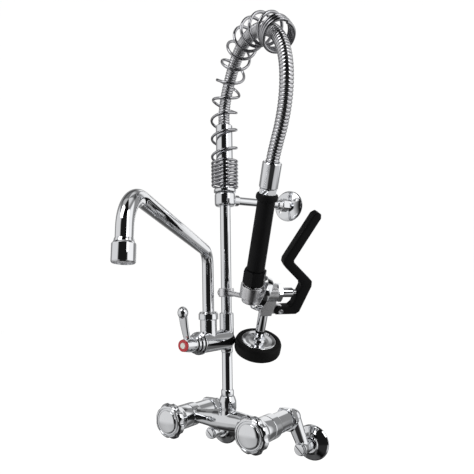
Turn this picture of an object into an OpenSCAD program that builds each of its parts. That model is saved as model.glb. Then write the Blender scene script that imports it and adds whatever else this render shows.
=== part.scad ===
// Wall-mounted pre-rinse faucet: two-valve mixer on adjustable inlet arms, add-on
// swing spout, riser with wall bracket, spring-guarded hose, hook and spray valve.
// Frame: X to the right along the wall, Y into the wall, Z up. The origin lies on the
// wall face, halfway between the two wall inlets. Millimetres.

/* [Mixer] */
// Distance from the wall face to the riser axis
reach = 112; // [105:1:120]
// Distance of each valve axis from the middle
valve_x = 72; // [68:1:76]
// Centre distance of each inlet arm
arm_len = 50; // [46:1:54]
// Outward splay of the inlet arms in degrees
arm_splay = 15; // [10:1:18]
// Radius of the valve barrels
barrel_r = 15.5; // [15:0.5:16.5]
// Outer radius of the control knobs
knob_r = 27; // [26:0.5:28]
// Front face of the knobs, measured from the riser axis
knob_front = 55; // [54:1:58]

/* [Riser] */
// Outer radius of the riser pipes and of the spring-side hose tail
pipe_r = 8; // [7.5:0.5:8]
// Bore radius of the riser pipes
pipe_bore_r = 6.5; // [5:0.5:6.5]
// Height of the add-on faucet axis
addon_z = 170; // [168:0.5:178]
// Height of the wall bracket axis
bracket_z = 379; // [376:1:386]
// Sideways offset of the bracket flange on the wall
bracket_x = 48; // [40:1:56]
// Radius of the bracket flange
bracket_flange_r = 24.5; // [23:0.5:26]

/* [Spout] */
// Distance of the spout swivel axis in front of the riser
swivel_d = 45; // [44:1:48]
// Resting direction of the spout, turned from straight out towards +X
spout_turn = 22; // [0:1:30]
// Outer radius of the spout tube
spout_r = 8.25; // [7.5:0.25:8.5]
// Length of the straight rising run of the spout
spout_run = 219; // [180:1:240]
// Upward slope of the straight run in degrees
spout_rise = 8; // [4:1:12]

/* [Hose and spring] */
// Outer radius of the flexible hose
hose_r = 8.5; // [8:0.25:8.5]
// Mean radius of the guard spring
coil_r = 18.5; // [18:0.5:19.5]
// Radius of the spring wire
wire_r = 2; // [1.8:0.1:2.2]
// Pitch of the close-wound base turns
base_pitch = 5.4; // [5:0.1:6]
// Pitch of the open turns
open_pitch = 27.1; // [24:0.2:32]

/* [Spray valve] */
// Height of the hook cradle, where the spray valve hangs
spray_z = 242; // [240:1:248]
// Tilt of the spray handle from the vertical in degrees
spray_tilt = 28; // [26:1:30]
// Direction of the squeeze lever, turned from +X towards the wall
spray_turn = 51; // [49:1:53]
// Radius of the hand grip near its lower end
grip_r = 12.4; // [11.5:0.1:13]
// Outer radius of the rubber bumper
bumper_r = 34.5; // [33:0.5:36]
// Distance of the outlet neck from the handle axis
neck_x = 22.3; // [21:0.1:24]

/* [Hidden] */
$fn = 64;
hull_fn = 32;
fit = 0.05;        // running clearance on a radius
gap = 0.3;         // free clearance between separate bodies
seam = 0.01;       // overlap that joins two shapes of one casting

// Mixer, worked out from the arms
valve_z = arm_len * cos(arm_splay);
inlet_x = valve_x + arm_len * sin(arm_splay);
barrel_back = -45;
barrel_front = 25;
cartridge_r = 10;
spindle_r = 4;
shroud_r = 18.3;
shroud_back = 12;
step_back = -7;     // back of the thicker front of each barrel
shroud_front = 30;
knob_back = 30.5;
cap_r = 20;
union_len = 13;
union_lip = 3;
tail_r = 9.5;       // arm neck inside the union nut
arm_y = 70;         // arm plane behind the riser axis at the valve
arm_drop_y = 80.5;    // arm plane behind the riser axis at the wall inlet
shank_r = 10.45;    // G1/2 male shank
shank_out = 15;     // shank standing into the wall
shank_step = 0.55;  // how far thread and boss stand proud of the plain shank
boss_back = 18;     // back of the boss round the stop screw, from the wall
stop_front = 43.6;    // front of the lower arm end, from the wall
flange_r = 28.5;
flange_h = 14;
boss_top = 86;
nut_h = 9;

// Add-on faucet
addon_r = 14.5;
addon_back_r = 12.9; // round back, clear of the hanging bumper
addon_front = 66;
neck_top = 202;
spout_nut_h = 11;
collar_top = 210;
collar_low = 150;
hub_back = 83.3;
lever_front = 100;
index_front = 102.5;
ball_z = 44;

// Spout outline in its own upright plane
bend_r = 22;
crook_r = 36;
crook_end = 83;     // downward angle of the outlet
drop_len = 12.5;
aerator_r = 11;
aerator_h = 20;

// Hook, wall bracket and spring seat
clamp_z = 240;
clamp_h = 13;
cradle_r = 17;
cradle_bore = 13.4;
bracket_y = 12;     // ball centre in front of the wall
ball_r = 6.5;
collar_h = 19.5;
seat_z = bracket_z + 10;
seat_h = 6;
spring_z = seat_z + seat_h + wire_r;
sleeve_z = 437;
sleeve_top = 490;
socket_d = 6;       // how far the hose enters its two end fittings

// Route of the hose, from the riser sleeve to the spray valve's ferrule
hose_end_z = 173;   // hose end in the spray valve's own axis
spray_foot = [62, -137.6, spray_z];
handle_dir = [sin(spray_tilt) * sin(spray_turn), -sin(spray_tilt) * cos(spray_turn), cos(spray_tilt)];
hose_route = [
    [0, -112, 484], [0, -112, 505], [3.8, -113.7, 523.1], [12.1, -118.1, 540.7],
    [25.5, -126.6, 557.7], [43.6, -139.8, 570.7], [64.3, -155, 576.8], [86.7, -171.4, 575.9],
    [108.9, -187.8, 569.2], [129.3, -201.3, 558.3], [146.1, -211.2, 543.7], [157.6, -217.8, 525.2],
    [163.6, -220.7, 503], [163.4, -219.3, 479.2], [157.5, -213.3, 456.8], [147.4, -204.2, 437.3],
    [138.4, -197.8, 422.4], [132.2, -193.7, 411.3],
    spray_foot + (hose_end_z + 9) * handle_dir, spray_foot + hose_end_z * handle_dir
];
hose_sides = 12;

// Guard spring: base turns, open turns along the hose, close end turns
base_turns = 7.5;
end_pitch = 4.6;
end_turns = 3.5;
open_turns = 10.5;
turn_steps = 14;
wire_sides = 6;
arch_side = [cos(52), sin(52), 0];  // level direction square to the arch
spring_path = concat([[0, -reach, spring_z]], hose_route);

// Spray valve, in its own frame: x towards the lever, z up the handle
collar_z = [10, 33];
grip_top = 139;
nut_top = 146;
ferrule_top = 179;
ferrule_r = 12.3;
tube_r = 7.5;
chamber_z = -3;
stem_r = 4.3;
bonnet_x = [36, 42.5];
sleeve_x = 60.5;
stem_end = 64.8;
pivot = [45.5, -30.5];
lever_w = 14;
lug_w = 6;
neck_low = -74;
dish_z = -81;
bumper_h = 21;
ring_mid = [14, -4];
ring_r = 25;
ring_tilt = 22;
ring_turn = -10;

// ---- shared shapes ----

// A straight round rod from a to b, tapering from radius ra to rb
module rod(a, b, ra, rb) {
    d = b - a;
    translate(a) rotate([0, acos(d[2] / norm(d)), atan2(d[1], d[0])])
        cylinder(h = norm(d), r1 = ra, r2 = rb);
}

// A plain ring from z0 to z1
module ring(z0, z1, outer, inner) {
    translate([0, 0, z0]) difference() {
        cylinder(h = z1 - z0, r = outer);
        translate([0, 0, -1]) cylinder(h = z1 - z0 + 2, r = inner);
    }
}

// A chamfered hexagon nut from z0 to z1 with a round bore
module hex_nut(z0, z1, corner, bore) {
    h = z1 - z0;
    chamfer = corner * 0.1;
    translate([0, 0, z0]) difference() {
        intersection() {
            linear_extrude(h) circle(r = corner, $fn = 6);
            rotate_extrude() polygon([[0, 0], [corner - chamfer, 0], [corner, chamfer],
                [corner, h - chamfer], [corner - chamfer, h], [0, h]]);
        }
        translate([0, 0, -1]) cylinder(h = h + 2, r = bore);
    }
}

// Puts z along the valve axis, pointing away from the wall, zero at the riser plane
module at_valve(side) {
    translate([side * valve_x, -reach, valve_z]) rotate([90, 0, 0]) children();
}

// Puts z along the add-on faucet's axis, pointing away from the wall
module at_addon() {
    translate([0, -reach, addon_z]) rotate([90, 0, 0]) children();
}

// The riser axis
module on_riser() {
    translate([0, -reach, 0]) children();
}

// The spout's swivel axis, with x along the spout
module at_swivel() {
    translate([0, -reach - swivel_d, 0]) rotate([0, 0, spout_turn - 90]) children();
}

// The spray valve's own frame
module at_spray() {
    translate(spray_foot) rotate([0, 0, spray_turn]) rotate([spray_tilt, 0, 0]) children();
}

// Inside the spray frame, z along the valve chamber towards the lever
module along_chamber() {
    translate([0, 0, chamber_z]) rotate([0, 90, 0]) children();
}

// Inside the spray frame, an outline in x and z made solid over a width along y
module plate(width) {
    rotate([90, 0, 0]) linear_extrude(width, center = true) children();
}

// ---- mixer ----

module mixer_body() {
    half = valve_x - barrel_r / 2;
    color("silver") difference() {
        union() {
            for (side = [-1, 1]) at_valve(side) {
                translate([0, 0, barrel_back]) cylinder(h = barrel_front - barrel_back, r = barrel_r);
                translate([0, 0, step_back]) cylinder(h = shroud_back - step_back, r = shroud_r);
                translate([0, 0, barrel_back - 5]) cylinder(h = 6, r = 12);
            }
            translate([0, -reach, valve_z]) rotate([0, 90, 0]) rotate_extrude()
                polygon([[0, -half], [11, -half], [11.4, -48], [12.6, -36], [14.6, -22], [15.6, -10],
                    [15.6, 10], [14.6, 22], [12.6, 36], [11.4, 48], [11, half], [0, half]]);
            translate([0, -reach, 0]) rotate_extrude()
                polygon([[0, valve_z], [13.6, valve_z], [12.8, valve_z + 17], [13.4, boss_top - 18],
                    [13.4, boss_top - 8], [11.2, boss_top - 2], [10.4, boss_top], [0, boss_top]]);
        }
        for (side = [-1, 1]) at_valve(side) {
            translate([0, 0, -6]) cylinder(h = barrel_front + 7, r = cartridge_r + fit);
            translate([0, 0, barrel_back - 6]) cylinder(h = 60, r = 7);
        }
        translate([-valve_x, -reach, valve_z]) rotate([0, 90, 0]) cylinder(h = 2 * valve_x, r = 6);
        on_riser() translate([0, 0, valve_z]) cylinder(h = boss_top, r = 6);
        on_riser() translate([0, 0, boss_top - 9]) cylinder(h = 20, r = pipe_r + fit);
    }
}

module cartridges() {
    color("goldenrod") for (side = [-1, 1]) at_valve(side) difference() {
        translate([0, 0, -5]) cylinder(h = barrel_front + 5, r = cartridge_r);
        translate([0, 0, 6]) cylinder(h = barrel_front, r = spindle_r + fit);
        translate([0, 0, -6]) cylinder(h = 12, r = 6);
    }
}

module shrouds() {
    color("silver") for (side = [-1, 1]) at_valve(side) difference() {
        translate([0, 0, shroud_back]) cylinder(h = shroud_front - shroud_back, r = shroud_r);
        translate([0, 0, shroud_back - 1]) cylinder(h = barrel_front - shroud_back + 1 + gap, r = barrel_r + fit);
        cylinder(h = shroud_front + 1, r = spindle_r + gap);
    }
}

module union_nuts() {
    color("silver") for (side = [-1, 1]) at_valve(side) {
        back = barrel_back - union_len - gap;
        hex_nut(back + union_lip, barrel_back - gap, 19.5, 12 + fit);
        ring(back, back + union_lip + seam, 16.5, tail_r + fit);
    }
}

module union_washers() {
    color("dimgray") for (side = [-1, 1]) at_valve(side)
        ring(barrel_back - 7, barrel_back - 5, 11.5, 7.5);
}

module spindle(side) {
    color("goldenrod") at_valve(side) difference() {
        translate([0, 0, 8]) cylinder(h = 36, r = spindle_r);
        translate([0, 0, 36]) cylinder(h = 9, r = 1.6);
    }
}

// Eight shallow scallops round a disc
module knob_outline() {
    difference() {
        circle(r = knob_r);
        for (k = [0:7]) rotate(k * 45 + 22.5) translate([knob_r + 7.5, 0]) circle(r = 10);
    }
}

module knob(side) {
    depth = knob_front - knob_back;
    color("silver") at_valve(side) difference() {
        translate([0, 0, knob_back]) intersection() {
            linear_extrude(depth) knob_outline();
            rotate_extrude() polygon([[0, 0], [knob_r - 8, 0], [knob_r - 7.4, 5], [knob_r - 5, 10.5],
                [knob_r - 1.5, 14.5], [knob_r + 0.5, 16], [knob_r + 0.5, 18.5], [knob_r - 2, 21],
                [cap_r + 1, depth], [0, depth]]);
        }
        translate([0, 0, knob_back - 1]) cylinder(h = 5, r = knob_r - 10);
        cylinder(h = knob_front, r = spindle_r + fit / 2);
        translate([0, 0, 44]) cylinder(h = knob_front, r = 5.5);
        translate([0, 0, knob_front - 4]) cylinder(h = 5, r = cap_r + fit);
    }
}

module knob_screw(side) {
    color("gray") at_valve(side) {
        translate([0, 0, 37]) cylinder(h = 8, r = 1.5);
        difference() {
            translate([0, 0, 44 + fit]) cylinder(h = 3, r = 4.5);
            translate([-0.6, -5, 46]) cube([1.2, 10, 2]);
        }
    }
}

module knob_cap(side) {
    dome = 52;
    color("white") at_valve(side) intersection() {
        translate([0, 0, knob_front - 4 + fit]) cylinder(h = 8, r = cap_r);
        translate([0, 0, knob_front + 3.5 - dome]) sphere(r = dome);
    }
}

// Elbow-shaped inlet arm with its tail in the union nut and its shank in the wall
module arm(side) {
    top = [side * valve_x, -reach + arm_y, valve_z];
    low = [side * inlet_x, -reach + arm_drop_y, 0];
    color("silver") difference() {
        union() {
            at_valve(side) {
                translate([0, 0, -arm_y]) cylinder(h = arm_y + barrel_back - 7 - fit, r = tail_r);
                translate([0, 0, barrel_back - 10]) cylinder(h = 3 - fit, r = 11.5);
            }
            translate(top) sphere(r = 13);
            rod(top, low, 12.3, 9);
            translate([side * inlet_x, shank_out, 0]) rotate([90, 0, 0]) {
                cylinder(h = shank_out, r = shank_r);
                cylinder(h = shank_out + stop_front, r = shank_r - shank_step);
                translate([0, 0, shank_out + boss_back]) cylinder(h = stop_front - boss_back, r = shank_r);
            }
        }
        at_valve(side) translate([0, 0, -arm_y - 4]) cylinder(h = arm_y, r = 6);
        rod(top, low, 5.4, 5);
        translate([side * inlet_x, shank_out + 1, 0]) rotate([90, 0, 0])
            cylinder(h = shank_out + 2 + stop_front, r = 6.5);
    }
}

module stop_screw(side) {
    slot_w = 1.8;
    color("silver") translate([side * inlet_x, 0, 0]) rotate([90, 0, 0]) difference() {
        union() {
            translate([0, 0, stop_front - 8]) cylinder(h = 8 + gap, r = 6.5 - fit);
            translate([0, 0, stop_front + gap]) cylinder(h = 3.2, r = 8.8);
            translate([0, 0, 20]) cylinder(h = stop_front - 20, r = 3);
        }
        rotate([0, 0, 45]) translate([-slot_w / 2, -12, stop_front + 2]) cube([slot_w, 24, 3]);
    }
}

module wall_flange(side) {
    color("silver") translate([side * inlet_x, 0, 0]) rotate([90, 0, 0]) rotate_extrude()
        polygon([[shank_r + 0.1, 1.6], [25, 1.6], [26.5, 0], [flange_r, 0], [flange_r, 2.4],
            [26.5, 4.2], [22, 6.6], [17, 9.2], [14, 12], [13, flange_h],
            [shank_r + 0.1, flange_h]]);
}

// ---- riser and add-on faucet ----

module riser_nut() {
    color("silver") on_riser() difference() {
        translate([0, 0, boss_top]) rotate_extrude()
            polygon([[0, 0], [9.8, 0], [9.8, nut_h - 2], [9, nut_h], [0, nut_h]]);
        cylinder(h = 200, r = pipe_r + fit);
    }
}

module lower_pipe() {
    low = boss_top - 9 + fit;
    color("silver") on_riser() ring(low, addon_z - 12, pipe_r, pipe_bore_r);
}

module upper_pipe() {
    color("silver") on_riser() ring(addon_z + 14, sleeve_z + 4, pipe_r, pipe_bore_r);
}

module addon_body() {
    color("silver") difference() {
        union() {
            at_addon() translate([0, 0, 2]) cylinder(h = addon_front - 2, r = addon_r);
            at_addon() sphere(r = addon_back_r);
            on_riser() translate([0, 0, collar_low]) cylinder(h = 20, r = 8.8);
            on_riser() translate([0, 0, addon_z]) cylinder(h = collar_top - addon_z, r = 10.8);
            at_swivel() translate([0, 0, addon_z]) cylinder(h = neck_top - addon_z, r = 12);
            at_swivel() translate([0, 0, neck_top - 1]) cylinder(h = 7, r = 10.5);
        }
        on_riser() translate([0, 0, collar_low - 1]) cylinder(h = 70, r = pipe_bore_r);
        on_riser() translate([0, 0, collar_low - 1]) cylinder(h = addon_z - 12 - collar_low + 1 + fit, r = pipe_r + fit);
        on_riser() translate([0, 0, addon_z + 14 - fit]) cylinder(h = 60, r = pipe_r + fit);
        at_addon() cylinder(h = addon_front + 1, r = 5);
        at_addon() translate([0, 0, swivel_d - 4]) cylinder(h = 40, r = cartridge_r + fit);
        at_swivel() translate([0, 0, addon_z]) cylinder(h = 80, r = 5);
        at_swivel() translate([0, 0, neck_top - 8]) cylinder(h = 80, r = spout_r + 0.6);
    }
}

module addon_bonnet() {
    color("silver") at_addon() difference() {
        translate([0, 0, addon_front]) rotate_extrude()
            polygon([[0, 0], [16.2, 0], [16.2, 4], [14.2, 5.5], [14.2, 9], [12, 10.5], [12, 14],
                [10, 15.5], [10, 17], [0, 17]]);
        cylinder(h = hub_back + 1, r = spindle_r + gap);
        translate([0, 0, addon_front - 1]) cylinder(h = 8, r = cartridge_r + fit);
    }
}

module addon_cartridge() {
    color("goldenrod") at_addon() difference() {
        translate([0, 0, swivel_d + 7]) cylinder(h = addon_front - swivel_d, r = cartridge_r);
        cylinder(h = 200, r = spindle_r + fit);
    }
}

module lever_spindle() {
    color("goldenrod") at_addon() translate([0, 0, swivel_d + 9]) cylinder(h = 42, r = spindle_r);
}

module lever_handle() {
    blade_foot = [0, 8, 92];
    blade_top = [0, ball_z - 6, 100];
    color("silver") at_addon() {
        difference() {
            translate([0, 0, hub_back]) rotate_extrude()
                polygon([[0, 0], [10.5, 0], [10, 6], [8.6, lever_front - hub_back],
                    [0, lever_front - hub_back]]);
            cylinder(h = swivel_d + 51 + fit, r = spindle_r + fit / 2);
        }
        difference() {
            hull() {
                translate(blade_foot) scale([1, 1, 0.5]) sphere(r = 5.5, $fn = hull_fn);
                translate(blade_top) scale([1, 1, 0.4]) sphere(r = 7, $fn = hull_fn);
            }
            cylinder(h = 200, r = 8.4);
        }
        translate([0, ball_z, 101]) scale([1, 1.15, 1]) sphere(r = 7.2);
    }
}

module index_ring() {
    color("red") at_addon() ring(lever_front + fit, index_front, 8.2, 4.2);
}

module index_button() {
    color("white") at_addon() translate([0, 0, lever_front + fit]) cylinder(h = 2.8, r = 4.15);
}

// ---- spout ----

// Where the spout's straight run starts and ends, and where the crook ends
bend_z = 279;
spout_foot = neck_top - 7;
run_start = [bend_r * (1 - cos(90 - spout_rise)), bend_z + bend_r * sin(90 - spout_rise)];
run_end = run_start + spout_run * [cos(spout_rise), sin(spout_rise)];
crook_mid = run_end + crook_r * [sin(spout_rise), -cos(spout_rise)];
crook_tip = crook_mid + crook_r * [sin(crook_end), cos(crook_end)];
outlet = crook_tip + drop_len * [cos(crook_end), -sin(crook_end)];
function upright(p) = [p[0], 0, p[1]];

// The spout's path as a solid of radius r: straight tubes that run on into fuller bends
module spout_path(r) {
    lap = 0.5;
    fuller = 0.02;
    run_lap = lap * [cos(spout_rise), sin(spout_rise)];
    tip_lap = lap * [cos(crook_end), -sin(crook_end)];
    translate([0, 0, spout_foot]) cylinder(h = bend_z + lap - spout_foot, r = r);
    translate([bend_r, 0, bend_z]) rotate([90, 0, 0]) rotate([0, 0, 90 + spout_rise])
        rotate_extrude(angle = 90 - spout_rise) translate([bend_r, 0]) circle(r = r + fuller);
    rod(upright(run_start - run_lap), upright(run_end + run_lap), r, r);
    translate(upright(crook_mid)) rotate([90, 0, 0]) rotate([0, 0, 90 - crook_end])
        rotate_extrude(angle = spout_rise + crook_end) translate([crook_r, 0]) circle(r = r + fuller);
    rod(upright(crook_tip - tip_lap), upright(outlet), r, r);
}

module spout() {
    color("silver") at_swivel() difference() {
        union() {
            spout_path(spout_r);
            ring(neck_top + 6.6, neck_top + 8.6, 10.4, spout_r - 0.5);
        }
        spout_path(spout_r - 1.4);
        translate([0, 0, spout_foot - 1]) cylinder(h = 3, r = spout_r - 1.4);
        translate(upright(outlet)) sphere(r = spout_r - 1.4);
    }
}

module spout_bush() {
    color("white") at_swivel() ring(neck_top - 7, neck_top + 6, spout_r + 0.55, spout_r + fit);
}

module spout_nut() {
    color("silver") at_swivel() difference() {
        translate([0, 0, neck_top]) rotate_extrude()
            polygon([[0, 0], [14, 0], [14, spout_nut_h - 3], [12.6, spout_nut_h - 1], [12, spout_nut_h],
                [0, spout_nut_h]]);
        translate([0, 0, neck_top - 1]) cylinder(h = spout_nut_h - 1, r = 10.5 + fit);
        cylinder(h = 400, r = spout_r + fit);
    }
}

// The outlet frame: z against the water's direction, zero at the spout's lower end
module at_outlet() {
    at_swivel() translate([outlet[0], 0, outlet[1]]) rotate([0, crook_end - 90, 0]) children();
}

module aerator_shell() {
    color("silver") at_outlet() difference() {
        translate([0, 0, -aerator_h]) rotate_extrude()
            polygon([[0, 0], [aerator_r - 0.8, 0], [aerator_r, 1.2], [aerator_r, aerator_h - 3],
                [aerator_r - 1.6, aerator_h - 1], [spout_r + 0.4, aerator_h + 2], [0, aerator_h + 2]]);
        translate([0, 0, -fit]) cylinder(h = 20, r = spout_r + fit / 2);
        translate([0, 0, -aerator_h - 1]) cylinder(h = aerator_h - 2, r = 9.2);
        translate([0, 0, -aerator_h]) cylinder(h = 60, r = 6);
    }
}

module aerator_insert() {
    hole_r = 0.7;
    color("gray") at_outlet() difference() {
        translate([0, 0, -aerator_h + 1.5]) cylinder(h = aerator_h - 6, r = 9.15);
        for (k = [0:11]) rotate([0, 0, k * 30]) translate([6, 0, -aerator_h]) cylinder(h = 40, r = hole_r);
        for (k = [0:5]) rotate([0, 0, k * 60]) translate([3, 0, -aerator_h]) cylinder(h = 40, r = hole_r);
    }
}

// ---- hook, bracket, spring and hose ----

module hook() {
    to_spray = [spray_foot[0], spray_foot[1] + reach];
    dir = to_spray / norm(to_spray);
    color("silver") {
        difference() {
            union() {
                on_riser() translate([0, 0, clamp_z - clamp_h / 2]) cylinder(h = clamp_h, r = 11.5);
                rod([dir[0] * 9, dir[1] * 9 - reach, clamp_z - 1],
                    [dir[0] * 47, dir[1] * 47 - reach, clamp_z - 5.5], 3.6, 3.6);
            }
            on_riser() cylinder(h = 400, r = pipe_r + fit);
            on_riser() translate([0, 0, clamp_z]) rotate([0, -90, atan2(dir[1], dir[0])])
                cylinder(h = 20, r = 3 + fit);
        }
        at_spray() difference() {
            translate([0, 0, -9]) cylinder(h = 18.7, r = cradle_r);
            translate([0, 0, -10]) cylinder(h = 22, r = cradle_bore);
            translate([0, -12.9, -10]) cube([20, 25.8, 22]);
        }
    }
}

module hook_screw() {
    to_spray = [spray_foot[0], spray_foot[1] + reach];
    color("silver") on_riser() translate([0, 0, clamp_z])
        rotate([0, -90, atan2(to_spray[1], to_spray[0])]) {
            translate([0, 0, pipe_r + gap]) cylinder(h = 6, r = 3);
            translate([0, 0, 11.5 + gap]) rotate_extrude()
                polygon([[0, 0], [5.5, 0], [5.5, 5], [4, 6.5], [0, 6.5]]);
        }
}

// Unit vector of the bracket rod, and the ball's centre
ball_mid = [bracket_x, -bracket_y, bracket_z];
rod_run = [bracket_x, reach - bracket_y, 0];
rod_dir = rod_run / norm(rod_run);

module bracket_collar() {
    color("silver") difference() {
        union() {
            on_riser() intersection() {
                translate([0, 0, bracket_z - collar_h / 2]) cylinder(h = collar_h, r = 15.75);
                translate([0, 0, bracket_z]) sphere(r = 17.2);
            }
            rod([0, -reach, bracket_z], rod_dir * 22 + [0, -reach, bracket_z], 8.6, 8.2);
        }
        on_riser() translate([0, 0, bracket_z - 20]) cylinder(h = 40, r = pipe_r + fit);
        rod(rod_dir * 14 + [0, -reach, bracket_z], rod_dir * 30 + [0, -reach, bracket_z], 6 + fit, 6 + fit);
    }
}

module bracket_rod() {
    color("silver") rod(rod_dir * (14 + fit) + [0, -reach, bracket_z], ball_mid - rod_dir * (ball_r + 1), 6, 6);
}

// Puts z along the bracket rod, zero at the ball's centre
module at_ball() {
    translate(ball_mid) rotate([0, 90, atan2(rod_dir[1], rod_dir[0])]) children();
}

module bracket_nut() {
    color("silver") at_ball() difference() {
        union() {
            hex_nut(-9, 2.5, 10.5, 1);
            translate([0, 0, -17]) cylinder(h = 9, r = 8);
        }
        sphere(r = ball_r + fit);
        translate([0, 0, -18]) cylinder(h = 18 - ball_r - 1 + fit, r = 6 + fit);
    }
}

module bracket_flange() {
    hole_r = 2.3;
    hole_d = 17;
    color("silver") {
        translate([bracket_x, 0, bracket_z]) rotate([90, 0, 0]) {
            difference() {
                rotate_extrude() polygon([[0, 0], [bracket_flange_r, 0], [bracket_flange_r, 1.4],
                    [22.5, 2.6], [9, 3.4], [5.5, 5.5], [0, 5.5]]);
                for (a = [30, 210]) rotate([0, 0, a]) translate([hole_d, 0, -1]) cylinder(h = 8, r = hole_r);
            }
            translate([0, 0, 5]) cylinder(h = bracket_y - 7, r = 3.2);
        }
        translate(ball_mid) sphere(r = ball_r);
    }
}

module spring_seat() {
    color("silver") on_riser() difference() {
        translate([0, 0, seat_z]) rotate_extrude()
            polygon([[0, 0], [15.5, 0], [16.8, 1.2], [16.8, seat_h - 1.2], [15.5, seat_h], [0, seat_h]]);
        translate([0, 0, seat_z - 1]) cylinder(h = 20, r = pipe_r + fit);
    }
}

module hose_sleeve() {
    color("silver") on_riser() difference() {
        translate([0, 0, sleeve_z]) rotate_extrude()
            polygon([[0, 0], [11.6, 0], [12.6, 2], [12.6, sleeve_top - sleeve_z - 1.5],
                [11.6, sleeve_top - sleeve_z], [0, sleeve_top - sleeve_z]]);
        translate([0, 0, sleeve_z - 1]) cylinder(h = 5 + fit, r = pipe_r + fit);
        cylinder(h = 600, r = 5);
        translate([0, 0, sleeve_top - socket_d]) cylinder(h = 20, r = hose_r + 0.2);
    }
}

// Vector helpers
function unit(v) = v / norm(v);
function leg(p, k) = norm(p[k + 1] - p[k]);
function run_to(p, k) = k == 0 ? 0 : run_to(p, k - 1) + leg(p, k - 1);
function slope(p, k) = k == 0 ? unit(p[1] - p[0]) :
    k == len(p) - 1 ? unit(p[k] - p[k - 1]) : unit(p[k + 1] - p[k - 1]);
function side_of(t) = unit(cross(arch_side, t));

// Tube skin from rings of points, all with the same number of points
module skin(rings) {
    n = len(rings[0]);
    m = len(rings);
    polyhedron(
        points = [for (r = rings) for (p = r) p],
        faces = concat(
            [[for (j = [0:n - 1]) n - 1 - j]],
            [for (i = [0:m - 2]) for (j = [0:n - 1])
                [i * n + j, i * n + (j + 1) % n, (i + 1) * n + (j + 1) % n, (i + 1) * n + j]],
            [[for (j = [0:n - 1]) (m - 1) * n + j]]));
}

// A ring of points round p, square to t
function round_points(p, t, a, r, sides) =
    [for (j = [0:sides - 1]) p + r * (cos(360 * j / sides) * a + sin(360 * j / sides) * cross(t, a))];

module hose() {
    color("lightgray") skin([for (k = [0:len(hose_route) - 1])
        round_points(hose_route[k], slope(hose_route, k), side_of(slope(hose_route, k)), hose_r, hose_sides)]);
}

// The spring's centre line, smoothed between the route's points
path_runs = [for (k = [0:len(spring_path) - 1]) run_to(spring_path, k)];
function piece_at(s, k = 0) = k >= len(spring_path) - 2 || s < path_runs[k + 1] ? k : piece_at(s, k + 1);
function on_path(s) = let(
        k = piece_at(s), h = leg(spring_path, k), u = (s - path_runs[k]) / h,
        a = spring_path[k], b = spring_path[k + 1],
        ta = slope(spring_path, k) * h, tb = slope(spring_path, k + 1) * h)
    a * (2 * u * u * u - 3 * u * u + 1) + ta * (u * u * u - 2 * u * u + u)
        + b * (3 * u * u - 2 * u * u * u) + tb * (u * u * u - u * u);
base_len = base_turns * base_pitch;
open_len = open_turns * open_pitch;
all_turns = base_turns + open_turns + end_turns;
function run_at(n) = n < base_turns ? n * base_pitch :
    n < base_turns + open_turns ? base_len + (n - base_turns) * open_pitch :
    base_len + open_len + (n - base_turns - open_turns) * end_pitch;
function coil_point(n) = let(
        s = run_at(n), p = on_path(s), t = unit(on_path(s + 0.5) - on_path(s - 0.5)),
        a = side_of(t), b = cross(t, a))
    p + coil_r * (cos(360 * n) * a + sin(360 * n) * b);

module spring() {
    step = 1 / turn_steps;
    color("silver") skin([for (n = [step:step:all_turns]) let(
            p = coil_point(n), t = unit(coil_point(n + 0.01) - coil_point(n - 0.01)),
            out = unit(p - on_path(run_at(n))), a = unit(out - (out * t) * t))
        round_points(p, t, a, wire_r, wire_sides)]);
}

// ---- spray valve ----

module hose_ferrule() {
    color("silver") at_spray() difference() {
        translate([0, 0, nut_top]) rotate_extrude()
            polygon([[0, 0], [11.4, 0], [ferrule_r, 1.5], [ferrule_r, ferrule_top - nut_top - 1.5],
                [11.4, ferrule_top - nut_top], [0, ferrule_top - nut_top]]);
        translate([0, 0, hose_end_z]) cylinder(h = 20, r = hose_r + 0.4);
        translate([0, 0, nut_top - 1]) cylinder(h = 60, r = 5);
    }
}

module spray_nut() {
    color("silver") at_spray() hex_nut(grip_top, nut_top, 12.4, 5);
}

module handle_tube() {
    color("silver") at_spray() ring(5, grip_top, tube_r, 5.5);
}

module grip() {
    bead_h = 9;
    bead_r = 14.4;
    color("black") at_spray() difference() {
        rotate_extrude() polygon([[0, collar_z[1]], [grip_r, collar_z[1]],
            [grip_r - 0.8, grip_top - bead_h], [bead_r - 0.8, grip_top - bead_h + 1.2],
            [bead_r, grip_top - bead_h + 3], [bead_r, grip_top - 3], [bead_r - 1, grip_top - 1],
            [bead_r - 2.4, grip_top], [0, grip_top]]);
        cylinder(h = 200, r = tube_r + fit / 2);
    }
}

module grip_collar() {
    corner = 16.8;
    h = collar_z[1] - collar_z[0];
    color("black") at_spray() difference() {
        translate([0, 0, collar_z[0]]) intersection() {
            linear_extrude(h) circle(r = corner, $fn = 6);
            rotate_extrude() polygon([[0, 0], [corner - 5, 0], [corner, 5], [corner, h - 2.5],
                [corner - 3, h], [0, h]]);
        }
        cylinder(h = 60, r = tube_r + fit / 2);
    }
}

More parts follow.
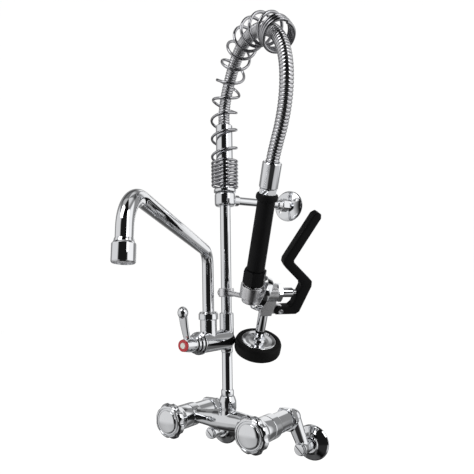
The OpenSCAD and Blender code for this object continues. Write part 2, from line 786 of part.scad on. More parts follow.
module spray_body() {
    socket_r = 13;
    color("silver") at_spray() difference() {
        union() {
            translate([0, 0, -17]) cylinder(h = 17 + collar_z[0], r = socket_r);
            along_chamber() cylinder(h = bonnet_x[0], r = 12.5);
            plate(18) polygon([[12, 9], [34, 9], [36, 6], [36, -18], [34, -24], [32, -37],
                [15.5, -37], [13, -20]]);
            plate(lug_w) polygon([[30, -20], [36, -19], [50, -25], [52, -31], [49, -36], [30, -37]]);
            translate([neck_x, 0, neck_low]) cylinder(h = 40, r = 7.1);
        }
        translate([0, 0, 5 - fit]) cylinder(h = 20, r = tube_r + fit / 2);
        translate([0, 0, chamber_z]) cylinder(h = 20, r = 5.5);
        along_chamber() translate([0, 0, -8]) cylinder(h = 17.5, r = 6);
        along_chamber() cylinder(h = 60, r = 3.5);
        along_chamber() translate([0, 0, 14]) cylinder(h = 40, r = 6);
        translate([neck_x, 0, neck_low - 1]) cylinder(h = chamber_z - neck_low, r = 4.5);
        translate([pivot[0], 0, pivot[1]]) rotate([90, 0, 0]) cylinder(h = 40, r = 2 + fit, center = true);
    }
}

module bonnet_nut() {
    color("silver") at_spray() along_chamber() {
        hex_nut(bonnet_x[0], bonnet_x[1], 14, stem_r + fit);
        ring(bonnet_x[0] - 8, bonnet_x[0] + seam, 5.9, stem_r + fit);
    }
}

module stem_sleeve() {
    color("silver") at_spray() along_chamber() difference() {
        translate([0, 0, bonnet_x[1]]) rotate_extrude()
            polygon([[0, 0], [6.2, 0], [7.05, 1.5], [7.05, 16.5], [6.2, 18], [0, 18]]);
        translate([0, 0, bonnet_x[1] - 1]) cylinder(h = 30, r = stem_r + fit);
    }
}

module valve_stem() {
    color("gainsboro") at_spray() along_chamber() {
        translate([0, 0, 34]) cylinder(h = stem_end - 34, r = stem_r);
        translate([0, 0, 6]) cylinder(h = 28 + seam, r = 2.4);
        translate([0, 0, 6]) cylinder(h = 3.4, r = 5);
    }
}

module valve_spring() {
    turns = 4;
    steps = 12;
    color("gray") at_spray() along_chamber() skin([for (k = [0:turns * steps]) let(
            a = 360 * k / steps, p = [4 * cos(a), 4 * sin(a), -7 + k * 12.2 / (turns * steps)],
            t = unit([-4 * sin(a), 4 * cos(a), 12.2 / (turns * 2 * PI)]), o = [cos(a), sin(a), 0])
        round_points(p, t, o, 0.6, 6)]);
}

module lever_outline() {
    polygon([[37.5, -36], [70, -36], [75, -32], [86, 9], [85, 17], [52.5, 45.5], [51.5, 49],
        [78.5, 110], [77.5, 116], [72, 118.5], [66.5, 115], [37, 50], [37, 44], [41, 38],
        [68, 14], [69.5, 9], [68, 3], [62, -19], [58, -23.5], [40, -24], [37.5, -27]]);
}

module squeeze_lever() {
    color("black") at_spray() difference() {
        plate(lever_w) lever_outline();
        plate(lug_w + 2 * gap) polygon([[30, -10], [54, -10], [54, -50], [30, -50]]);
        translate([pivot[0], 0, pivot[1]]) rotate([90, 0, 0]) cylinder(h = 40, r = 2 + fit, center = true);
    }
}

module lever_pin() {
    head_h = 1.4;
    color("silver") at_spray() translate([pivot[0], 0, pivot[1]]) rotate([90, 0, 0]) {
        cylinder(h = lever_w + 2 * gap, r = 2, center = true);
        for (side = [0, 1]) mirror([0, 0, side]) difference() {
            translate([0, 0, lever_w / 2 + gap]) cylinder(h = head_h, r = 3.6);
            translate([0, 0, lever_w / 2 + gap + head_h - 0.6]) linear_extrude(1) circle(r = 1.8, $fn = 6);
        }
    }
}

module hang_ring() {
    band = 8;
    thick = 1.6;
    color("silver") at_spray() translate([ring_mid[0], 0, ring_mid[1]]) rotate([0, 0, ring_turn])
        rotate([0, 90 + ring_tilt, 0]) ring(-band / 2, band / 2, ring_r, ring_r - thick);
}

module spray_dish() {
    color("silver") at_spray() translate([neck_x, 0, 0]) {
        hex_nut(neck_low - 5, neck_low, 9, 4.5);
        difference() {
            translate([0, 0, dish_z - 6]) rotate_extrude()
                polygon([[0, 0], [25.52, 0], [25.52, 5], [24, 6], [15, 3.6], [9, 4.4], [7.5, 8], [0, 8]]);
            translate([0, 0, dish_z - 7]) cylinder(h = 20, r = 4.5);
        }
    }
}

module bumper() {
    low = dish_z - bumper_h;
    color("black") at_spray() translate([neck_x, 0, 0]) rotate_extrude()
        polygon([[25.6, low + 9], [23, low + 8], [23, low], [31, low], [bumper_r - 1, low + 2],
            [bumper_r, low + 5], [bumper_r, low + bumper_h - 5], [bumper_r - 1.6, low + bumper_h - 1.4],
            [31, low + bumper_h], [26.6, low + bumper_h], [25.6, low + bumper_h - 1]]);
}

module spray_face() {
    low = dish_z - 12;
    color("gainsboro") at_spray() translate([neck_x, 0, 0]) difference() {
        translate([0, 0, low]) cylinder(h = 12 - 6, r = 22.8);
        for (row = [[6, 6], [12, 12], [18, 18]]) for (k = [0:row[1] - 1])
            rotate([0, 0, k * 360 / row[1]]) translate([row[0], 0, low - 1]) cylinder(h = 20, r = 0.9);
    }
}

mixer_body();
cartridges();
shrouds();
union_nuts();
union_washers();
spindle(-1);  // left_spindle
knob(-1);  // left_knob
knob_screw(-1);  // left_knob_screw
knob_cap(-1);  // left_knob_cap
spindle(1);  // right_spindle
knob(1);  // right_knob
knob_screw(1);  // right_knob_screw
knob_cap(1);  // right_knob_cap
arm(-1);  // left_arm
stop_screw(-1);  // left_stop_screw
wall_flange(-1);  // left_wall_flange
arm(1);  // right_arm
stop_screw(1);  // right_stop_screw
wall_flange(1);  // right_wall_flange
riser_nut();
lower_pipe();
addon_body();
upper_pipe();
addon_bonnet();
addon_cartridge();
lever_spindle();
lever_handle();
index_ring();
index_button();
spout_nut();
spout_bush();
spout();
aerator_shell();
aerator_insert();
hook();
hook_screw();
bracket_collar();
bracket_rod();
bracket_nut();
bracket_flange();
spring_seat();
spring();
hose_sleeve();
hose();
hose_ferrule();
spray_nut();
handle_tube();
grip();
grip_collar();
spray_body();
bonnet_nut();
stem_sleeve();
valve_stem();
valve_spring();
squeeze_lever();
lever_pin();
hang_ring();
spray_dish();
bumper();
spray_face();
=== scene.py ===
"""Visible pieces and studio of the wall-mounted pre-rinse faucet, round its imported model.

Sizes and places are in millimetres in the part's own frame: X along the wall, Y into it, Z up.
Each mesh is scaled to metres as it is made.
"""
import math

import bpy
import bmesh
from mathutils import Matrix, Vector


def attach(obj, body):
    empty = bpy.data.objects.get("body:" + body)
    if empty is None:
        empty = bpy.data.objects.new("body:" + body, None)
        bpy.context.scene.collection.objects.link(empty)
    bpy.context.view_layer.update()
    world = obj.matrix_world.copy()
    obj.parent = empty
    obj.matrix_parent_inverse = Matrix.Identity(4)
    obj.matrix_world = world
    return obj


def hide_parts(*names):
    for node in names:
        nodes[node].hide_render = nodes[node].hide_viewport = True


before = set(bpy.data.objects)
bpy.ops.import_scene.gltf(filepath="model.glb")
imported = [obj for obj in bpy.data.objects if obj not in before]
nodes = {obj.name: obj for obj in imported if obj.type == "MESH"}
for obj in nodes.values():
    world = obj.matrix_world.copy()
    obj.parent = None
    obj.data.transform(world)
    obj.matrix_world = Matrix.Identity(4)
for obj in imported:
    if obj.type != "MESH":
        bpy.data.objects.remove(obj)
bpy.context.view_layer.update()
pi = math.pi
rad = math.radians
MM = 0.001

# ---------------------------------------------------------------- places
VALVE_X, REACH = 72.0, 112.0  # valve axes from the middle, riser from the wall
ARM_RUN, ARM_LEAN = 50.0, 15.0  # inlet arm between its two axes, and its lean in degrees
VALVE_Z = ARM_RUN * math.cos(rad(ARM_LEAN))
INLET_X = VALVE_X + ARM_RUN * math.sin(rad(ARM_LEAN))
PIPE_R, PIPE_BORE, ON_PIPE = 8.0, 6.5, 8.06  # riser pipe, and the bore of what sits on it
ADDON_Z, SWIVEL_Y = 170.0, -157.0
SPOUT_TURN, SPOUT_R = 22.0, 8.25
BRACKET_X, BRACKET_Z, BALL_Y = 48.0, 379.0, -12.0
CLAMP_Z = 240.0  # middle of the hook's clamp
FOOT, SPRAY_TURN, SPRAY_TILT = Vector((62.0, -137.6, 242.0)), 51.0, 28.0
NECK_X, CHAMBER_Z = 22.3, -3.0  # outlet neck and valve chamber, in the spray valve's frame


def rot(axis, deg):
    return Matrix.Rotation(rad(deg), 4, axis)


def at(x, y, z):
    return Matrix.Translation((x, y, z))


def valve(side):
    return at(side * VALVE_X, -REACH, VALVE_Z) @ rot("X", 90)


def inlet(side):
    return at(side * INLET_X, 0, 0) @ rot("X", 90)


RISER = at(0, -REACH, 0)
ADDON = at(0, -REACH, ADDON_Z) @ rot("X", 90)
SWIVEL = at(0, SWIVEL_Y, 0) @ rot("Z", SPOUT_TURN - 90)
SPRAY = at(*FOOT) @ rot("Z", SPRAY_TURN) @ rot("X", SPRAY_TILT)
CHAMBER = SPRAY @ at(0, 0, CHAMBER_Z) @ rot("Y", 90)
NECK = SPRAY @ at(NECK_X, 0, 0)
BALL = Vector((BRACKET_X, BALL_Y, BRACKET_Z))
ROD_DIR = Vector((BRACKET_X, REACH + BALL_Y, 0)).normalized()
ROD = at(*BALL) @ rot("Z", math.degrees(math.atan2(ROD_DIR.y, ROD_DIR.x))) @ rot("Y", 90)
HANDLE = (SPRAY.to_3x3() @ Vector((0, 0, 1))).normalized()


# ---------------------------------------------------------------- materials
def material(name, color, metallic, rough, grain=None, mottle=None, coat=0.0, gloss=0.5):
    """One procedural surface. rough is (low, high). grain is (scale, depth in mm) of its bump,
    and its detail where that isn't 3. mottle is (scale, dark factor) of its slow colour change."""
    m = bpy.data.materials.new(name)
    m.use_nodes = True
    t = m.node_tree
    b = t.nodes["Principled BSDF"]
    b.inputs["Metallic"].default_value = metallic
    b.inputs["Coat Weight"].default_value = coat
    b.inputs["Coat Roughness"].default_value = 0.08
    b.inputs["Specular IOR Level"].default_value = gloss
    where = t.nodes.new("ShaderNodeTexCoord")

    def noise(scale, detail):
        n = t.nodes.new("ShaderNodeTexNoise")
        n.inputs["Scale"].default_value = scale
        n.inputs["Detail"].default_value = detail
        t.links.new(where.outputs["Object"], n.inputs["Vector"])
        return n.outputs["Fac"]

    smear = t.nodes.new("ShaderNodeMapRange")
    smear.inputs["From Min"].default_value = 0.35
    smear.inputs["From Max"].default_value = 0.65
    smear.inputs["To Min"].default_value = rough[0]
    smear.inputs["To Max"].default_value = rough[1]
    t.links.new(noise(55, 6), smear.inputs["Value"])
    t.links.new(smear.outputs["Result"], b.inputs["Roughness"])
    scale, dark = mottle or (30, 0.9)
    tint = t.nodes.new("ShaderNodeMix")
    tint.data_type = "RGBA"
    tint.inputs["A"].default_value = (*[c * dark for c in color], 1)
    tint.inputs["B"].default_value = (*color, 1)
    t.links.new(noise(scale, 4), tint.inputs["Factor"])
    t.links.new(tint.outputs["Result"], b.inputs["Base Color"])
    if grain:
        bump = t.nodes.new("ShaderNodeBump")
        bump.inputs["Strength"].default_value = 1.0
        bump.inputs["Distance"].default_value = grain[1] * MM
        t.links.new(noise(grain[0], grain[2] if len(grain) > 2 else 3), bump.inputs["Height"])
        t.links.new(bump.outputs["Normal"], b.inputs["Normal"])
    return m


CHROME = material("chrome", (0.80, 0.81, 0.83), 1.0, (0.03, 0.06), (45, 0.012, 1), (20, 0.96))
CAST = material("chrome_cast", (0.78, 0.79, 0.81), 1.0, (0.045, 0.09), (45, 0.03, 1), (25, 0.94))
SATIN = material("satin_casting", (0.84, 0.84, 0.86), 1.0, (0.26, 0.36), (2600, 0.02), (90, 0.92))
HOSE = material("wound_strip", (0.66, 0.66, 0.68), 1.0, (0.10, 0.20), (300, 0.02), (200, 0.85))
WIRE = material("spring_wire", (0.46, 0.46, 0.48), 1.0, (0.07, 0.14), (400, 0.02), (150, 0.88))
STEEL = material("turned_steel", (0.62, 0.62, 0.64), 1.0, (0.18, 0.30), (900, 0.02), (120, 0.85))
BRASS = material("brass", (0.72, 0.53, 0.25), 1.0, (0.20, 0.32), (700, 0.02), (100, 0.8))
BLACK = (0.006, 0.006, 0.0065)
PLASTIC = material("black_moulding", BLACK, 0.0, (0.30, 0.42), (1500, 0.035), (60, 0.7), gloss=0.1)
GRIP = material("black_grip", BLACK, 0.0, (0.38, 0.50), (1100, 0.05), (60, 0.7), gloss=0.1)
RUBBER = material("black_rubber", (0.006, 0.006, 0.006), 0.0, (0.42, 0.56), (900, 0.05), (50, 0.7),
                  gloss=0.1)
SEAL = material("seal_rubber", (0.03, 0.03, 0.03), 0.0, (0.55, 0.7), (900, 0.04), (50, 0.7))
RED = material("index_red", (0.50, 0.012, 0.02), 0.0, (0.18, 0.28), (500, 0.01), (80, 0.85), 0.5)
WHITE = material("index_white", (0.80, 0.78, 0.72), 0.0, (0.22, 0.34), (500, 0.01), (80, 0.92), 0.3)
GREY = material("grey_moulding", (0.36, 0.36, 0.37), 0.0, (0.35, 0.5), (900, 0.02), (80, 0.85))


# ---------------------------------------------------------------- mesh helpers
def finish_mesh(name, bm, mat, sharp=38):
    bmesh.ops.remove_doubles(bm, verts=bm.verts, dist=1e-7)
    bmesh.ops.recalc_face_normals(bm, faces=bm.faces)
    me = bpy.data.meshes.new(name)
    bm.to_mesh(me)
    bm.free()
    me.materials.append(mat)
    me.shade_smooth()
    me.set_sharp_from_angle(angle=rad(sharp))
    o = bpy.data.objects.new(name, me)
    bpy.context.scene.collection.objects.link(o)
    return o


def skin(bm, rings, close_ring=True, caps=True):
    """Faces between rings of points (mm); a ring of one point is a tip."""
    made = [[bm.verts.new(Vector(p) * MM) for p in r] for r in rings]
    for a, b in zip(made, made[1:]):
        n = max(len(a), len(b))
        for j in range(n if close_ring else n - 1):
            k = (j + 1) % n
            f = [a[j % len(a)], a[k % len(a)], b[k % len(b)], b[j % len(b)]]
            f = list(dict.fromkeys(f))
            if len(f) > 2:
                bm.faces.new(f)
    if caps:
        for r in (made[0], made[-1]):
            if len(r) > 2:
                bm.faces.new(r)


def soften(points, radii, steps=5, closed=False):
    """The outline with its corners rounded. radii is one number or one per point."""
    n = len(points)
    rs = radii if isinstance(radii, (list, tuple)) else [radii] * n
    out = []
    for i, p in enumerate(points):
        p = Vector(p)
        if rs[i] <= 0 or (not closed and i in (0, n - 1)):
            out.append(tuple(p))
            continue
        a, b = Vector(points[i - 1]), Vector(points[(i + 1) % n])
        ua, ub = (a - p), (b - p)
        la, lb = ua.length, ub.length
        ua.normalize()
        ub.normalize()
        turn = pi - ua.angle(ub)
        if turn < 0.05:
            out.append(tuple(p))
            continue
        cut = min(rs[i] * math.tan(turn / 2), la * 0.49, lb * 0.49)
        s, e = p + ua * cut, p + ub * cut
        for k in range(steps + 1):
            q = k / steps
            out.append(tuple(s * (1 - q) ** 2 + p * 2 * q * (1 - q) + e * q * q))
    return out


def circle(place, r, z, seg):
    return [place @ Vector((r * math.cos(2 * pi * k / seg), r * math.sin(2 * pi * k / seg), z))
            for k in range(seg)]


def lathe(bm, profile, place, seg=72, closed=False):
    """Turns (radius, height) points round place's z axis; a closed profile makes a ring."""
    pts = list(profile) + ([profile[0]] if closed else [])
    rings = []
    for r, z in pts:
        if r < 1e-4:
            rings.append([place @ Vector((0, 0, z))])
        else:
            rings.append(circle(place, r, z, seg))
    skin(bm, rings, caps=False)


def turned(name, place, profile, mat, rounds=0.5, seg=72, closed=True, more=()):
    """A turned piece, with further (profile, place) pairs in more."""
    bm = bmesh.new()
    for prof, where in [(profile, place)] + list(more):
        lathe(bm, soften(prof, rounds, 4, closed), where, seg, closed)
    return finish_mesh(name, bm, mat)


def tube_rings(path, radius, sides=32, up=None):
    """Rings round a path, kept from twisting. radius is a number or one per point."""
    pts = [Vector(p) for p in path]
    rad = radius if isinstance(radius, (list, tuple)) else [radius] * len(pts)
    t0 = (pts[1] - pts[0]).normalized()
    a = Vector(up) if up else t0.orthogonal()
    rings = []
    for i, p in enumerate(pts):
        t = (pts[min(i + 1, len(pts) - 1)] - pts[max(i - 1, 0)]).normalized()
        a = (a - t * a.dot(t)).normalized()
        b = t.cross(a)
        rings.append([p + rad[i] * (math.cos(2 * pi * k / sides) * a + math.sin(2 * pi * k / sides) * b)
                      for k in range(sides)])
    return rings


def spline(points, step):
    """A smooth curve through the points, sampled every step mm, its length, and the function
    that gives its point at a distance along it."""
    p = [Vector(q) for q in points]
    dense = []
    for i in range(len(p) - 1):
        h = (p[i + 1] - p[i]).length

        def slope(k):
            if k == 0:
                return (p[1] - p[0]).normalized()
            if k == len(p) - 1:
                return (p[k] - p[k - 1]).normalized()
            return (p[k + 1] - p[k - 1]).normalized()

        a, b = slope(i) * h, slope(i + 1) * h
        for k in range(40):
            u = k / 40
            dense.append(p[i] * (2 * u**3 - 3 * u**2 + 1) + a * (u**3 - 2 * u**2 + u)
                         + p[i + 1] * (3 * u**2 - 2 * u**3) + b * (u**3 - u**2))
    dense.append(p[-1])
    run = [0.0]
    for a, b in zip(dense, dense[1:]):
        run.append(run[-1] + (b - a).length)

    def where(s):
        lo, hi = 0, len(run) - 1
        while hi - lo > 1:
            mid = (lo + hi) // 2
            if run[mid] <= s:
                lo = mid
            else:
                hi = mid
        q = (s - run[lo]) / max(run[hi] - run[lo], 1e-9)
        return dense[lo].lerp(dense[hi], min(max(q, 0), 1))

    n = max(2, round(run[-1] / step))
    return [where(run[-1] * k / n) for k in range(n + 1)], run[-1], where


def plate(name, outline, width, place, mat, bevel, corner=0.0, segs=4):
    """An outline in x and z, solid over a width along y, with rounded edges."""
    pts = soften(outline, corner, 6, True)
    bm = bmesh.new()
    skin(bm, [[(x, -width / 2, z) for x, z in pts], [(x, width / 2, z) for x, z in pts]])
    bmesh.ops.recalc_face_normals(bm, faces=bm.faces)
    rims = [e for e in bm.edges if any(len(f.verts) > 4 for f in e.link_faces)]
    bmesh.ops.bevel(bm, geom=rims, offset=bevel * MM, segments=segs, profile=0.5, affect="EDGES",
                    clamp_overlap=True)
    bm.transform(at(*(place.to_translation() * MM)) @ place.to_3x3().to_4x4())
    return finish_mesh(name, bm, mat, 45)


def hexagon(bm, z0, z1, corner, place, chamfer=1.2, turn=0.0, bore=None):
    """A hex nut with turned-down corners: rings whose radius is cut by the chamfer cone."""
    seg = 96
    rings = []
    flat = corner * math.cos(pi / 6)

    def side_at(a):
        q = (a - rad(turn)) % (pi / 3) - pi / 6
        return flat / math.cos(q)

    face, slope = corner - chamfer * 1.6, corner - chamfer * 0.6
    levels = [(z0, face), (z0 + chamfer * 0.5, slope), (z0 + chamfer, corner),
              (z1 - chamfer, corner), (z1 - chamfer * 0.5, slope), (z1, face)]
    rings.append(circle(place, bore, z0, seg) if bore else [place @ Vector((0, 0, z0))])
    for z, limit in levels:
        ring = []
        for k in range(seg):
            a = 2 * pi * k / seg
            r = min(side_at(a) - 0.001, limit)
            ring.append(place @ Vector((r * math.cos(a), r * math.sin(a), z)))
        rings.append(ring)
    if bore:
        rings += [circle(place, bore, z1, seg), rings[0]]
    else:
        rings.append([place @ Vector((0, 0, z1))])
    skin(bm, rings, caps=False)


def hex_piece(name, z0, z1, corner, place, mat, chamfer=1.2, turn=0.0, bore=None):
    bm = bmesh.new()
    hexagon(bm, z0, z1, corner, place, chamfer, turn, bore)
    return finish_mesh(name, bm, mat, 25)


def apply_modifiers(o):
    graph = bpy.context.evaluated_depsgraph_get()
    me = bpy.data.meshes.new_from_object(o.evaluated_get(graph))
    o.modifiers.clear()
    o.data = me
    return me


def cut_away(o, bm):
    """Cuts the closed shape bm out of the object."""
    cutter = finish_mesh(o.name + "_cutter", bm, CHROME)
    cut = o.modifiers.new("cut", "BOOLEAN")
    cut.object = cutter
    cut.operation = "DIFFERENCE"
    cut.solver = "EXACT"
    apply_modifiers(o)
    bpy.data.objects.remove(cutter)
    o.data.set_sharp_from_angle(angle=rad(30))


def casting(name, build, mat, voxel=0.8, passes=6):
    """Overlapping shapes melted into one casting with soft inner corners."""
    bm = bmesh.new()
    build(bm)
    o = finish_mesh(name, bm, mat)
    melt = o.modifiers.new("melt", "REMESH")
    melt.mode = "VOXEL"
    melt.voxel_size = voxel * MM
    melt.use_smooth_shade = True
    ease = o.modifiers.new("ease", "SMOOTH")
    ease.factor = 0.5
    ease.iterations = passes
    me = apply_modifiers(o)
    me.materials.clear()
    me.materials.append(mat)
    me.shade_smooth()
    return o


def put(o, body, slot, *replaced):
    """Ties a piece to its body, in place of the nodes it stands for. The slot argument is not used."""
    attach(o, body)
    if replaced:
        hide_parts(*replaced)
    return o


def rod_mesh(bm, a, b, ra, rb=None, seg=48):
    a, b = Vector(a), Vector(b)
    skin(bm, tube_rings([a, b], [ra, ra if rb is None else rb], seg))


def ball_mesh(bm, place, r, squash=(1, 1, 1)):
    prof = [(r * math.sin(pi * k / 24), -r * math.cos(pi * k / 24)) for k in range(25)]
    prof[0], prof[-1] = (0, -r), (0, r)
    lathe(bm, prof, place @ Matrix.Diagonal((*squash, 1)), 48)


# ---------------------------------------------------------------- camera
cam_data = bpy.data.cameras.new("photo_camera")
cam = bpy.data.objects.new("photo_camera", cam_data)
bpy.context.scene.collection.objects.link(cam)
bpy.context.scene.camera = cam
CAMERA_ROLL = -0.74
cam.location = (0.4325, -0.7248, 0.242)
look = Vector((-0.559, 0.829, 0))
cam.rotation_mode = "QUATERNION"
cam.rotation_quaternion = look.to_track_quat("-Z", "Y") @ rot("Z", CAMERA_ROLL).to_quaternion()
cam_data.sensor_width = 36
cam_data.lens = 37.974684
cam_data.shift_y = 0.113924
cam_data.clip_start = 0.01
cam_data.clip_end = 30

# ---------------------------------------------------------------- hose and spring
LEAD = FOOT + HANDLE * 182
END = FOOT + HANDLE * 173
ROUTE = [(0, -112, 484), (0, -112, 505), (3.8, -113.7, 523.1), (12.1, -118.1, 540.7), (25.5, -126.6, 557.7),
         (43.6, -139.8, 570.7), (64.3, -155, 576.8), (86.7, -171.4, 575.9), (108.9, -187.8, 569.2),
         (129.3, -201.3, 558.3), (146.1, -211.2, 543.7), (157.6, -217.8, 525.2), (163.6, -220.7, 503),
         (163.4, -219.3, 479.2), (157.5, -213.3, 456.8), (147.4, -204.2, 437.3), (138.4, -197.8, 422.4),
         (132.2, -193.7, 411.3), tuple(LEAD), tuple(END)]
RIB_PITCH, RIB_ROOT, RIB_HIGH = 4.1, 7.6, 0.9  # ribs of the wound strip, mm
STEP = RIB_PITCH / 10
line, hose_len, _ = spline(ROUTE, STEP)
radii = [RIB_ROOT + RIB_HIGH * math.sin(pi * ((i * STEP / RIB_PITCH) % 1.0)) ** 0.4
         for i in range(len(line))]
bm = bmesh.new()
skin(bm, tube_rings(line, radii, 36))
hose = finish_mesh("hose_wound", bm, HOSE, 60)
put(hose, "faucet", "hose_steel", "hose")

SPRING_Z, COIL_R, WIRE_R = 397.0, 18.5, 2.0
TURNS = (7.5, 10.5, 3.5)  # close base, open arch, close end
PITCH = (5.4, 27.1, 4.6)
PER_TURN, COIL_START = 40, 0.07  # points in a turn, and where in its turn the wire starts
_, _, on_spring = spline([(0, -REACH, SPRING_Z)] + ROUTE, 1)
ARCH_SIDE = Vector((math.cos(rad(52)), math.sin(rad(52)), 0))


def run_at(n):
    """How far along the hose the coil is after n turns."""
    s = 0.0
    for turns, pitch in zip(TURNS, PITCH):
        part = min(n, turns)
        s += part * pitch
        n -= part
    return s


def coil_point(n):
    s = run_at(n)
    t = (on_spring(s + 1.5) - on_spring(max(s - 1.5, 0))).normalized()
    a = ARCH_SIDE.cross(t).normalized()
    b = t.cross(a)
    return on_spring(s) + COIL_R * (math.cos(2 * pi * n) * a + math.sin(2 * pi * n) * b)


coil = [coil_point(COIL_START + k / PER_TURN) for k in range(int(sum(TURNS) * PER_TURN) - 3)]
bm = bmesh.new()
skin(bm, tube_rings(coil, WIRE_R, 14))
put(finish_mesh("guard_spring", bm, WIRE, 60), "faucet", "spring_steel", "spring")


# ---------------------------------------------------------------- mixer
def build_mixer(bm):
    for side in (-1, 1):
        lathe(bm, [(0, -50), (12, -50), (12, -45), (15.5, -45), (15.5, 25), (0, 25)], valve(side))
        lathe(bm, [(0, -7), (18.3, -7), (18.3, 11.7), (0, 11.7)], valve(side))
    lathe(bm, [(0, -64), (11, -64), (11.4, -48), (12.6, -36), (14.6, -22), (15.6, -10), (15.6, 10),
               (14.6, 22), (12.6, 36), (11.4, 48), (11, 64), (0, 64)],
          at(0, -REACH, VALVE_Z) @ rot("Y", 90))
    lathe(bm, [(0, VALVE_Z), (13.6, VALVE_Z), (12.8, VALVE_Z + 17), (13.4, 68), (13.4, 78), (11.2, 84),
               (10.4, 86), (0, 86)], RISER)


put(casting("mixer_casting", build_mixer, CAST, 0.8, 8), "faucet", "chrome", "mixer_body")

SHROUD = [(15.6, 12), (18.3, 12), (18.3, 30), (6, 30), (6, 25.6), (15.6, 25.6)]
put(turned("shroud_pair", valve(-1), SHROUD, CHROME, 0.5, 96, True, [(SHROUD, valve(1))]),
    "faucet", "chrome", "shrouds")

bm = bmesh.new()
for side in (-1, 1):
    hexagon(bm, -55.3, -45.3, 19.5, valve(side), 1.6, 0, 12.1)
    lathe(bm, soften([(9.6, -58.3), (15.4, -58.3), (16.5, -57.2), (16.5, -55.2), (9.6, -55.2)], 0.4, 3, True),
          valve(side), 72, True)
put(finish_mesh("union_nut_pair", bm, CHROME, 25), "faucet", "chrome", "union_nuts")


KNOB_R = 27.0
SCALLOP_AT, SCALLOP_R, LOBE_EASE = 34.2, 9.1, 1.2  # scallop circles, and the softness of their edges


def lobes(a):
    """The knob outline's radius at angle a: eight soft lobes."""
    q = (a + pi / 8) % (pi / 4) - pi / 8
    across = SCALLOP_AT * math.sin(q)
    cut = 2 * KNOB_R
    if abs(across) < SCALLOP_R:
        cut = SCALLOP_AT * math.cos(q) - math.sqrt(SCALLOP_R**2 - across**2)
    h = max(LOBE_EASE - abs(KNOB_R - cut), 0) / LOBE_EASE
    return min(KNOB_R, cut) - h * h * LOBE_EASE / 4


def knob(side, name):
    """Lobed knob and its domed cap. Each row is a radius, how far the lobes show, and a height;
    the lobes run out on the bevelled front."""
    seg = 192
    back = [(17.0, 0, 35), (17.0, 0, 30.5), (18.8, 0, 30.5), (19.05, 0, 31), (19.3, 0, 34), (19.8, 0, 37),
            (20.9, 0, 39.6), (22.4, 0.25, 41.8), (24.2, 0.6, 43.7), (26.0, 0.9, 45.2), (27.0, 1, 46.4),
            (27.0, 1, 48.0), (26.4, 1, 49.4)]
    front = [(26.4 - 5.2 * q**1.25, 1 - q, 49.4 + 5.2 * math.sin(q * pi / 2))
             for q in [k / 7 for k in range(1, 8)]]
    cup = [(20.9, 0, 54.9), (20.4, 0, 55), (20.06, 0, 54.7), (20.06, 0, 51)]
    rings = []
    for r, lobe, z in back + front + cup:
        ring = []
        for k in range(seg):
            a = 2 * pi * k / seg
            q = r - lobe * (KNOB_R - lobes(a))
            ring.append(valve(side) @ Vector((q * math.cos(a), q * math.sin(a), z)))
        rings.append(ring)
    rings.append([valve(side) @ Vector((0, 0, 51))])
    bm = bmesh.new()
    skin(bm, rings, caps=False)
    lathe(bm, [(4.1, 35), (17.0, 35)], valve(side), 96)
    put(finish_mesh(name + "_knob_lobed", bm, CHROME, 35), name + "_control", "chrome", name + "_knob")
    cap = [(0, 51.05), (20, 51.05), (20, 54.1), (19.3, 54.75), (18.2, 54.95), (17.6, 54.75), (17.1, 55.0)]
    cap += [(17.1 * math.cos(k * pi / 20), 55.0 + 3.4 * math.sin(k * pi / 20)) for k in range(1, 10)]
    cap += [(0, 58.4)]
    bm = bmesh.new()
    lathe(bm, cap, valve(side), 96)
    put(finish_mesh(name + "_cap_domed", bm, CHROME, 40), name + "_control", "chrome", name + "_knob_cap")


knob(-1, "left")
knob(1, "right")


THREAD_PITCH = 1.8


